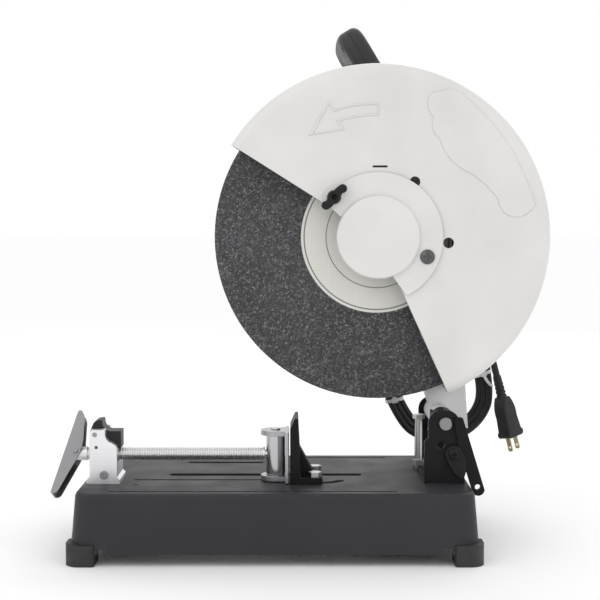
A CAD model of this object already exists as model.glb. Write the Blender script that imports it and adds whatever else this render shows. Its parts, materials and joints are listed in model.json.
"""Abrasive chop saw: materials, cord, cable ties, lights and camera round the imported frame."""
import json
import math

import bpy
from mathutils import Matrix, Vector


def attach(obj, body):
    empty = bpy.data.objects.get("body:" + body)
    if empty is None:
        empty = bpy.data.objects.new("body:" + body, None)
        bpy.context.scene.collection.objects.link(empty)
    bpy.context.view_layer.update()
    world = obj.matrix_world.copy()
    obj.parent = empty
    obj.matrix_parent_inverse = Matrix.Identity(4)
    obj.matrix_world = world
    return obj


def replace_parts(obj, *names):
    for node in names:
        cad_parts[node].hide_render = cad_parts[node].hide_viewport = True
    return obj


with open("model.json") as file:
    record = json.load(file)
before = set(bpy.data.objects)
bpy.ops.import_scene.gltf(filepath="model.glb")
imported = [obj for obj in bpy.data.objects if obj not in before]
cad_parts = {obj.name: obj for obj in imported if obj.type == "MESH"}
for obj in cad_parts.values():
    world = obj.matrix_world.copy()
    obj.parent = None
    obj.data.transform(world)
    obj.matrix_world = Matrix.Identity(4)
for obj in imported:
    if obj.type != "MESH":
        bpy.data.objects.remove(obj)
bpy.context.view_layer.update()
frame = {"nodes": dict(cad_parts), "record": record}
nodes = frame["nodes"]
record = frame["record"]


# ---------------------------------------------------------------- camera

CAMERA_PLACE = (-0.004, -1.478, 0.3517)
CAMERA_TILT = 3.31
CAMERA_LENS = 79.2
CAMERA_SENSOR = 36.0

camera_data = bpy.data.cameras.new("camera")
camera_data.lens = CAMERA_LENS
camera_data.sensor_width = CAMERA_SENSOR
camera = bpy.data.objects.new("camera", camera_data)
camera.location = CAMERA_PLACE
camera.rotation_euler = (math.radians(90 - CAMERA_TILT), 0, 0)
bpy.context.scene.collection.objects.link(camera)
bpy.context.scene.camera = camera


# ---------------------------------------------------------------- cord

CORD_DIAMETER = 0.008
COIL_TOP = Vector((0.1039, 0, 0.3576))
COIL_LOW = Vector((0.166, 0, 0.152))
TOP_RADIUS = 0.068
LOW_RADIUS = 0.056
# The straight limbs between the bends: radius, and the angles where they meet the bends.
LIMB_RADIUS = 0.0645
RIGHT_LIMB = 13.6
LEFT_LIMB = 200.0
TURNS = 3
# Each spot's radius is first changed by INNER_STEP and would grow by OUTWARD over TURNS full turns,
# while the depth falls from BACK by FORWARD. A small wave keeps the turns from lying too evenly.
INNER_STEP = -0.0075
OUTWARD = 0.0185
BACK = 0.121
FORWARD = 0.0135
WAVE = 0.0006
LEAD = [(0.103865, 0.121, 0.305), (0.103865, 0.121, 0.257865), (0.202, 0.121, 0.205)]
TAIL = [(0.2125, 0.108, 0.2294), (0.2239, 0.092, 0.1988), (0.23123, 0.092, 0.16967)]


def turn_spots():
    """(centre, radius, angle) of each control point of one turn, from the right limb downward."""
    spots = []
    low_count, top_count = 5, 6
    low_step = (360 - LEFT_LIMB + RIGHT_LIMB) / low_count
    top_step = (LEFT_LIMB - RIGHT_LIMB) / top_count
    for i in range(low_count):
        reach = LOW_RADIUS / math.cos(math.radians(low_step / 2))
        spots.append((COIL_LOW, reach, RIGHT_LIMB - low_step * (i + 0.5)))
    spots.append((COIL_LOW.lerp(COIL_TOP, 0.5), LIMB_RADIUS, LEFT_LIMB))
    for i in range(top_count):
        reach = TOP_RADIUS / math.cos(math.radians(top_step / 2))
        spots.append((COIL_TOP, reach, LEFT_LIMB - top_step * (i + 0.5)))
    spots.append((COIL_TOP.lerp(COIL_LOW, 0.5), LIMB_RADIUS, RIGHT_LIMB))
    return spots


def cord_points():
    """The cord's whole route: down from the end cover, round the coil, out to the plug."""
    points = [Vector(p) for p in LEAD]
    spots = turn_spots()
    total = TURNS * len(spots)
    for turn in range(TURNS):
        for i, (centre, reach, angle) in enumerate(spots):
            if turn == TURNS - 1 and i == len(spots) - 1:
                break
            share = (turn * len(spots) + i) / total
            out = reach + INNER_STEP + OUTWARD * share
            a = math.radians(angle)
            wave = WAVE * math.sin(7.0 * share * math.pi + i)
            points.append(Vector((centre.x + (out + wave) * math.cos(a), BACK - FORWARD * share,
                                  centre.z + (out + wave) * math.sin(a))))
    return points + [Vector(p) for p in TAIL]


def tube(name, points, diameter):
    """Curve of one open NURBS spline that a route's control points lead."""
    curve = bpy.data.curves.new(name, "CURVE")
    curve.dimensions = "3D"
    curve.bevel_depth = diameter / 2
    curve.bevel_resolution = 5
    curve.resolution_u = 10
    curve.use_fill_caps = True
    spline = curve.splines.new("NURBS")
    spline.points.add(len(points) - 1)
    for spot, point in zip(spline.points, points):
        spot.co = (point[0], point[1], point[2], 1.0)
    spline.order_u = 3
    spline.use_endpoint_u = True
    piece = bpy.data.objects.new(name, curve)
    bpy.context.scene.collection.objects.link(piece)
    return piece


cord = tube("power_cord", cord_points(), CORD_DIAMETER)


# ---------------------------------------------------------------- finishes

class Finish:
    """A node material: a principled shader, and helpers that add nodes to it."""

    def __init__(self, name, colour, rough, metal=0.0):
        self.material = bpy.data.materials.new(name)
        self.material.use_nodes = True
        self.tree = self.material.node_tree
        self.tree.nodes.clear()
        self.shader = self.tree.nodes.new("ShaderNodeBsdfPrincipled")
        out = self.tree.nodes.new("ShaderNodeOutputMaterial")
        self.tree.links.new(self.shader.outputs[0], out.inputs["Surface"])
        self.shader.inputs["Metallic"].default_value = metal
        self.shader.inputs["Roughness"].default_value = rough
        self.shader.inputs["Base Color"].default_value = (*colour, 1.0)
        self.rough = rough
        self.place = self.tree.nodes.new("ShaderNodeTexCoord").outputs["Object"]
        self.normal = None

    def link(self, value, socket):
        """Feed a socket from another one, or set it to a plain value."""
        if isinstance(value, bpy.types.NodeSocket):
            self.tree.links.new(value, socket)
        else:
            socket.default_value = value

    def math(self, operation, first, second=0.0):
        node = self.tree.nodes.new("ShaderNodeMath")
        node.operation = operation
        self.link(first, node.inputs[0])
        self.link(second, node.inputs[1])
        return node.outputs[0]

    def stretched(self, scale):
        """Object coordinates scaled by axis, for grain that runs one way."""
        node = self.tree.nodes.new("ShaderNodeMapping")
        self.link(self.place, node.inputs["Vector"])
        node.inputs["Scale"].default_value = scale
        return node.outputs[0]

    def noise(self, scale, detail=3.0, place=None):
        node = self.tree.nodes.new("ShaderNodeTexNoise")
        self.link(place or self.place, node.inputs["Vector"])
        node.inputs["Scale"].default_value = scale
        node.inputs["Detail"].default_value = detail
        return node.outputs[0]

    def cells(self, scale):
        node = self.tree.nodes.new("ShaderNodeTexVoronoi")
        self.link(self.place, node.inputs["Vector"])
        node.inputs["Scale"].default_value = scale
        return node

    def span(self, value, low, high, to_low=0.0, to_high=1.0):
        node = self.tree.nodes.new("ShaderNodeMapRange")
        self.link(value, node.inputs[0])
        for i, number in enumerate((low, high, to_low, to_high)):
            node.inputs[i + 1].default_value = number
        return node.outputs[0]

    def mix(self, factor, first, second):
        node = self.tree.nodes.new("ShaderNodeMix")
        node.data_type = "RGBA"
        self.link(factor, node.inputs[0])
        for value, socket in ((first, node.inputs[6]), (second, node.inputs[7])):
            self.link(value if isinstance(value, bpy.types.NodeSocket) else (*value, 1.0), socket)
        return node.outputs[2]

    def bump(self, height, strength, distance):
        node = self.tree.nodes.new("ShaderNodeBump")
        node.inputs["Strength"].default_value = strength
        node.inputs["Distance"].default_value = distance
        self.link(height, node.inputs["Height"])
        if self.normal:
            self.link(self.normal, node.inputs["Normal"])
        self.normal = node.outputs[0]
        self.link(self.normal, self.shader.inputs["Normal"])

    def rounded(self, radius):
        """Soften sharp edges in the shading, and return a mask that is 1 along them."""
        bevel = self.tree.nodes.new("ShaderNodeBevel")
        bevel.samples = 4
        bevel.inputs["Radius"].default_value = radius
        self.normal = bevel.outputs[0]
        self.link(self.normal, self.shader.inputs["Normal"])
        flat = self.tree.nodes.new("ShaderNodeNewGeometry").outputs["Normal"]
        dot = self.tree.nodes.new("ShaderNodeVectorMath")
        dot.operation = "DOT_PRODUCT"
        self.link(self.normal, dot.inputs[0])
        self.link(flat, dot.inputs[1])
        return self.span(dot.outputs["Value"], 0.995, 0.9)

    def facing_up(self):
        """1 on faces that look up, where dust settles."""
        node = self.tree.nodes.new("ShaderNodeSeparateXYZ")
        self.link(self.tree.nodes.new("ShaderNodeNewGeometry").outputs["Normal"], node.inputs[0])
        return self.span(node.outputs[2], 0.6, 1.0)

    def paint(self, colour):
        self.link(colour, self.shader.inputs["Base Color"])

    def gloss(self, value, swing):
        """Roughness that varies by swing around the finish's own, following value."""
        self.link(self.span(value, 0.3, 0.7, self.rough - swing, self.rough + swing),
                  self.shader.inputs["Roughness"])


def shade(colour, factor):
    """A colour made lighter or darker."""
    return tuple(min(1.0, c * factor) for c in colour)


BARE_STEEL = (0.35, 0.35, 0.36)
DUST = (0.42, 0.40, 0.37)
DRAWN_GRAIN = (60.0, 900.0, 900.0)
PALE_GRIT = (0.26, 0.26, 0.265)
PRINT_BLACK = (0.05, 0.05, 0.055)
SEAM_BLACK = (0.002, 0.002, 0.002)
# The plane where the handle's halves meet: a point on it, and its normal's lean from upright.
HANDLE_FOOT = Vector((0.1502, 0.069, 0.3974))
HANDLE_LEAN = math.radians(58.8)


def painted(name, colour, rough, wear, coat=0.15, shine=0.5, dusty=0.09):
    """Sprayed or powder coat on metal: orange peel, soft blotches, dust, rubbed edges."""
    f = Finish(name, colour, rough)
    edge = f.rounded(0.0007)
    blotch = f.noise(9.0, 4.0)
    base = f.mix(f.span(blotch, 0.35, 0.65), shade(colour, 0.93), shade(colour, 1.04))
    dust = f.math("MULTIPLY", f.facing_up(), f.span(f.noise(38.0, 5.0), 0.45, 0.75, 0.0, dusty))
    base = f.mix(dust, base, DUST)
    rubbed = f.math("MULTIPLY", edge, f.span(f.noise(110.0, 4.0), 0.52, 0.68, 0.0, wear))
    f.paint(f.mix(rubbed, base, BARE_STEEL))
    f.gloss(f.noise(24.0, 5.0), 0.07)
    f.shader.inputs["Coat Weight"].default_value = coat
    f.shader.inputs["Specular IOR Level"].default_value = shine
    f.shader.inputs["Coat Roughness"].default_value = 0.25
    f.bump(f.noise(720.0, 2.0), 0.10, 0.00008)
    return f.material


def metal(name, colour, rough, marks=0.05):
    """Bare or plated metal: an even satin with a faint drawn grain and brighter worn edges."""
    f = Finish(name, colour, rough, 1.0)
    edge = f.rounded(0.0005)
    drawn = f.noise(1.0, 4.0, f.stretched(DRAWN_GRAIN))
    tone = f.mix(f.span(f.noise(16.0, 3.0), 0.3, 0.7), shade(colour, 0.95), shade(colour, 1.04))
    tone = f.mix(f.span(drawn, 0.55, 0.75, 0.0, 0.12), tone, shade(colour, 0.7))
    f.paint(f.mix(f.math("MULTIPLY", edge, 0.5), tone, shade(colour, 1.5)))
    f.gloss(drawn, marks)
    f.bump(drawn, 0.04, 0.00004)
    return f.material


def off_seam(f):
    """Distance from the plane where the handle's halves meet."""
    split = f.tree.nodes.new("ShaderNodeSeparateXYZ")
    f.link(f.place, split.inputs[0])
    across = f.math("SUBTRACT", split.outputs[0], HANDLE_FOOT.x)
    rise = f.math("SUBTRACT", split.outputs[2], HANDLE_FOOT.z)
    leaning = f.math("MULTIPLY", across, math.sin(HANDLE_LEAN))
    standing = f.math("MULTIPLY", rise, math.cos(HANDLE_LEAN))
    return f.math("ABSOLUTE", f.math("ADD", leaning, standing))


def moulded(name, colour, rough=0.5, depth=0.3, seam=False):
    """Moulded plastic: spark-eroded grain, slight tone drift, edges paled by handling.
    A seam is the dark line where the two halves of the handle meet."""
    f = Finish(name, colour, rough)
    edge = f.rounded(0.0008)
    tone = f.mix(f.span(f.noise(14.0, 4.0), 0.3, 0.7), shade(colour, 0.85), shade(colour, 1.15))
    tone = f.mix(f.math("MULTIPLY", edge, 0.25), tone, shade(colour, 2.2))
    if seam:
        tone = f.mix(f.span(off_seam(f), 0.0004, 0.0008, 0.9, 0.0), tone, SEAM_BLACK)
    f.paint(tone)
    f.gloss(f.noise(55.0, 4.0), 0.08)
    f.bump(f.cells(1400.0).outputs["Distance"], depth, 0.00012)
    return f.material


def rubbery(name, colour):
    """Vinyl or rubber: almost smooth, dull, with a bloom of dust."""
    f = Finish(name, colour, 0.62)
    f.rounded(0.0008)
    tone = f.mix(f.span(f.noise(30.0, 5.0), 0.45, 0.75, 0.0, 0.5), colour, shade(colour, 2.4))
    f.paint(tone)
    f.gloss(f.noise(80.0, 4.0), 0.1)
    f.bump(f.noise(900.0, 3.0), 0.2, 0.0001)
    return f.material


def abrasive(name, colour):
    """Bonded grit: dark resin, pale grains of two sizes in patches, and a pitted face."""
    f = Finish(name, colour, 0.78)
    grit = f.cells(620.0)
    small = f.cells(1150.0)
    sparkle = f.span(grit.outputs["Color"], 0.62, 0.95)
    fine = f.span(small.outputs["Color"], 0.55, 0.9, 0.0, 0.6)
    patchy = f.span(f.noise(260.0, 2.0), 0.3, 0.7, 0.3, 1.0)
    pale = f.math("MULTIPLY", f.math("MAXIMUM", sparkle, fine), patchy)
    tone = f.mix(f.span(f.noise(18.0, 4.0), 0.3, 0.7), shade(colour, 0.8), shade(colour, 1.3))
    f.paint(f.mix(pale, tone, PALE_GRIT))
    f.bump(grit.outputs["Distance"], 0.7, 0.0004)
    f.bump(small.outputs["Distance"], 0.5, 0.0002)
    return f.material


# Radius and half width of each ring printed on the label, and how fast its weave repeats.
LABEL_RINGS = ((0.0795, 0.0006), (0.0555, 0.0004))
WEAVE_RATE = 900.0


def paper(name, colour, centre):
    """Label paper pressed into the wheel's mesh, with plain printed rings and no lettering."""
    f = Finish(name, colour, 0.7)
    split = f.tree.nodes.new("ShaderNodeSeparateXYZ")
    f.link(f.place, split.inputs[0])
    along = f.math("SUBTRACT", split.outputs[0], centre[0])
    up = f.math("SUBTRACT", split.outputs[2], centre[2])
    radius = f.math("SQRT", f.math("ADD", f.math("MULTIPLY", along, along), f.math("MULTIPLY", up, up)))
    threads = []
    for axis in (along, up):
        threads.append(f.math("ABSOLUTE", f.math("SINE", f.math("MULTIPLY", axis, WEAVE_RATE))))
    weave = f.math("MAXIMUM", threads[0], threads[1])
    tone = f.mix(f.span(weave, 0.8, 1.0, 0.0, 0.22), colour, shade(colour, 0.74))
    tone = f.mix(f.span(f.noise(30.0, 4.0), 0.4, 0.75, 0.0, 0.3), tone, shade(colour, 0.82))
    for distance, width in LABEL_RINGS:
        line = f.math("ABSOLUTE", f.math("SUBTRACT", radius, distance))
        tone = f.mix(f.span(line, width, width + 0.0003, 0.75, 0.0), tone, PRINT_BLACK)
    f.paint(tone)
    f.bump(weave, 0.3, 0.0002)
    return f.material


# The wheel's middle, at rest.
HUB = Vector((0.080, -0.028, 0.337))
# Roughness of each paint, and how strongly bare metal shows along its edges.
PAINTS = {
    "guard_white": (0.36, 0.25), "guard_back_white": (0.38, 0.25), "cover_white": (0.34, 0.25),
    "arm_grey": (0.42, 0.3), "housing_grey": (0.42, 0.3), "base_black": (0.46, 0.4),
    "bracket_black": (0.44, 0.4), "fence_black": (0.46, 0.4), "wrench_black": (0.3, 0.5),
}
# How much lighter or darker each finish reads than the record's plain colour.
TONES = {
    "base_black": 1.35, "bracket_black": 0.45, "fence_black": 0.35, "wrench_black": 0.45, "clip_black": 0.6,
    "plug_black": 0.4, "cord_black": 0.5, "guard_rubber": 0.5, "foot_rubber": 0.9, "lever_black": 0.7,
    "arm_grey": 1.3, "housing_grey": 1.15, "block_silver": 1.5, "screw_zinc": 1.8, "pin_zinc": 0.62,
    "hub_chrome": 0.8, "crank_grey": 0.85, "abrasive": 0.85, "guard_white": 0.96, "cover_white": 0.95,
}


def finish_for(slot, kind, colour):
    """The node material for one slot of the record."""
    name = "m_" + slot
    if slot == "abrasive":
        return abrasive(name, colour)
    if slot == "label_paper":
        return paper(name, colour, HUB)
    if kind == "painted_metal":
        rough, wear = PAINTS.get(slot, (0.4, 0.4))
        if slot.endswith("_black"):
            return painted(name, colour, rough, wear, coat=0.0, shine=0.12, dusty=0.02)
        return painted(name, colour, rough, wear)
    if kind in ("brushed_steel", "aluminium", "brass"):
        return metal(name, colour, 0.42 if kind == "aluminium" else 0.34)
    if kind == "chrome":
        return metal(name, colour, 0.12, marks=0.02)
    if kind == "rubber":
        return rubbery(name, colour)
    if kind == "gloss_plastic":
        return moulded(name, colour, 0.3, depth=0.05)
    return moulded(name, colour, seam=slot in ("handle_black", "handle_rear_black"))


finishes = {}
for entry in record["materials"]:
    slot_colour = shade(entry["base_color"][:3], TONES.get(entry["slot"], 1.0))
    finishes[entry["slot"]] = finish_for(entry["slot"], entry["class"], slot_colour)
for part in record["subparts"]:
    node = nodes[part["node"]]
    node.data.materials.clear()
    node.data.materials.append(finishes[part["material_slot"]])


def dress(piece, slot, body):
    """Give a piece its finish and let it ride on a body."""
    piece.data.materials.append(finishes[slot])
    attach(piece, body)
    return piece


dress(cord, "cord_black", "head")
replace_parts(cord, "cord", "cord_coil")


# ---------------------------------------------------------------- cable ties

TIE_WIDTH = 0.004
# Power that shapes the band's outline: 1 is an ellipse, and less is squarer.
TIE_SQUARENESS = 0.62
TIE_STEPS = 56
# Half sizes of the band along the coil's radius and in depth, outside and inside.
TIE_OUTER = (0.0114, 0.0097)
TIE_INNER = (0.0104, 0.0087)
# The lock's two ends, in depth from the bundle's middle, and its half sizes at each.
LOCK_ENDS = (-0.0093, -0.0126)
LOCK_HALF_WIDTHS = (0.0035, 0.0032)
LOCK_HALF_THICKNESSES = (0.003, 0.0027)
# The tail's spots: how deep, where it starts, how far apart they are and how they curl.
TAIL_DEPTH = -0.0118
TAIL_START = -0.002
TAIL_PITCH = -0.0032
TAIL_CURL = 0.0002
TAIL_SPOTS = 6
TAIL_HALF_WIDTH = 0.0018
TAIL_TIP_HALF_WIDTH = 0.0011
TAIL_HALF_THICKNESS = 0.00055
# Angle round the coil's low bend, and the bundle's middle there: radius and depth.
TIES = ((193.5, 0.0570, 0.1148), (20.0, 0.0547, 0.1165))


def tie_shape(angle, reach, depth):
    """Vertices and faces of one tie: a snug band, its square lock and its curling tail."""
    a = math.radians(angle)
    middle = Vector((COIL_LOW.x + reach * math.cos(a), depth, COIL_LOW.z + reach * math.sin(a)))
    radial = Vector((math.cos(a), 0, math.sin(a)))
    across = Vector((0, 1, 0))
    along = radial.cross(across)
    verts, faces = [], []

    def ring_point(half_x, half_y, step):
        turn = 2 * math.pi * step / TIE_STEPS
        c, s = math.cos(turn), math.sin(turn)
        x = half_x * math.copysign(abs(c) ** TIE_SQUARENESS, c)
        y = half_y * math.copysign(abs(s) ** TIE_SQUARENESS, s)
        return x, y

    rows = ((*TIE_OUTER, -0.5), (*TIE_OUTER, 0.5), (*TIE_INNER, 0.5), (*TIE_INNER, -0.5))
    for step in range(TIE_STEPS):
        for half_x, half_y, side in rows:
            x, y = ring_point(half_x, half_y, step)
            verts.append(middle + radial * x + across * y + along * (TIE_WIDTH * side))
    for step in range(TIE_STEPS):
        here, there = 4 * step, 4 * ((step + 1) % TIE_STEPS)
        for i in range(4):
            j = (i + 1) % 4
            faces.append((here + i, here + j, there + j, there + i))
    add_strip(verts, faces, [middle + across * y for y in LOCK_ENDS], radial, along,
              LOCK_HALF_WIDTHS, LOCK_HALF_THICKNESSES)
    foot = middle + across * TAIL_DEPTH
    tail = [foot + along * (TAIL_START + TAIL_PITCH * k) + radial * (TAIL_CURL * k * k)
            for k in range(TAIL_SPOTS)]
    half_widths = (TAIL_HALF_WIDTH,) * (TAIL_SPOTS - 1) + (TAIL_TIP_HALF_WIDTH,)
    add_strip(verts, faces, tail, radial, across, half_widths, (TAIL_HALF_THICKNESS,) * TAIL_SPOTS)
    return verts, faces


def add_strip(verts, faces, spots, wide, thick, half_wides, half_thicks):
    """A closed strip of rectangular section through the given spots."""
    start = len(verts)
    for spot, w, t in zip(spots, half_wides, half_thicks):
        for sw, st in ((-1, -1), (1, -1), (1, 1), (-1, 1)):
            verts.append(spot + wide * (sw * w) + thick * (st * t))
    for k in range(len(spots) - 1):
        for i in range(4):
            j = (i + 1) % 4
            base = start + 4 * k
            faces.append((base + i, base + j, base + 4 + j, base + 4 + i))
    last = start + 4 * (len(spots) - 1)
    faces.append((start + 3, start + 2, start + 1, start))
    faces.append((last, last + 1, last + 2, last + 3))


def make_ties():
    """Both ties as one piece, standing for the plain ones in the frame."""
    verts, faces = [], []
    for angle, reach, depth in TIES:
        more, its_faces = tie_shape(angle, reach, depth)
        faces += [tuple(i + len(verts) for i in face) for face in its_faces]
        verts += more
    mesh = bpy.data.meshes.new("ties")
    mesh.from_pydata([tuple(v) for v in verts], [], faces)
    mesh.update()
    piece = bpy.data.objects.new("ties", mesh)
    bpy.context.scene.collection.objects.link(piece)
    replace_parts(dress(piece, "tie_white", "head"), "cable_ties")


make_ties()


# ---------------------------------------------------------------- floor, light

FLOOR_REACH = 30.0
FLOOR_DROP = 0.0002
AIM = Vector((0.0, 0.0, 0.25))


def floor():
    """A wide pale floor just below the feet."""
    mesh = bpy.data.meshes.new("floor")
    corners = ((-1, -1), (1, -1), (1, 1), (-1, 1))
    mesh.from_pydata([(x * FLOOR_REACH, y * FLOOR_REACH, -FLOOR_DROP) for x, y in corners], [],
                     [(0, 1, 2, 3)])
    ground = bpy.data.objects.new("floor", mesh)
    bpy.context.scene.collection.objects.link(ground)
    f = Finish("m_floor", (0.98, 0.98, 0.98), 0.9)
    f.paint(f.mix(f.span(f.noise(2.0, 3.0), 0.3, 0.7), (0.975, 0.975, 0.975), (0.985, 0.985, 0.985)))
    mesh.materials.append(f.material)


def softbox(name, place, size, power):
    """A rectangular lamp aimed at the saw."""
    data = bpy.data.lights.new(name, "AREA")
    data.shape = "RECTANGLE"
    data.size, data.size_y = size
    data.energy = power
    lamp = bpy.data.objects.new(name, data)
    lamp.location = place
    lamp.rotation_euler = (AIM - Vector(place)).to_track_quat("-Z", "Y").to_euler()
    bpy.context.scene.collection.objects.link(lamp)


floor()
softbox("key", (-1.3, -1.7, 1.7), (1.4, 1.4), 5.0)
softbox("fill", (1.7, -1.5, 0.9), (1.4, 1.4), 1.0)
softbox("back", (0.4, 1.8, 1.6), (1.6, 1.0), 5.0)
world = bpy.data.worlds.new("world")
world.use_nodes = True
world.node_tree.nodes["Background"].inputs[0].default_value = (1.0, 1.0, 1.0, 1.0)
world.node_tree.nodes["Background"].inputs[1].default_value = 1.0
bpy.context.scene.world = world
bpy.context.scene.view_settings.view_transform = "Standard"
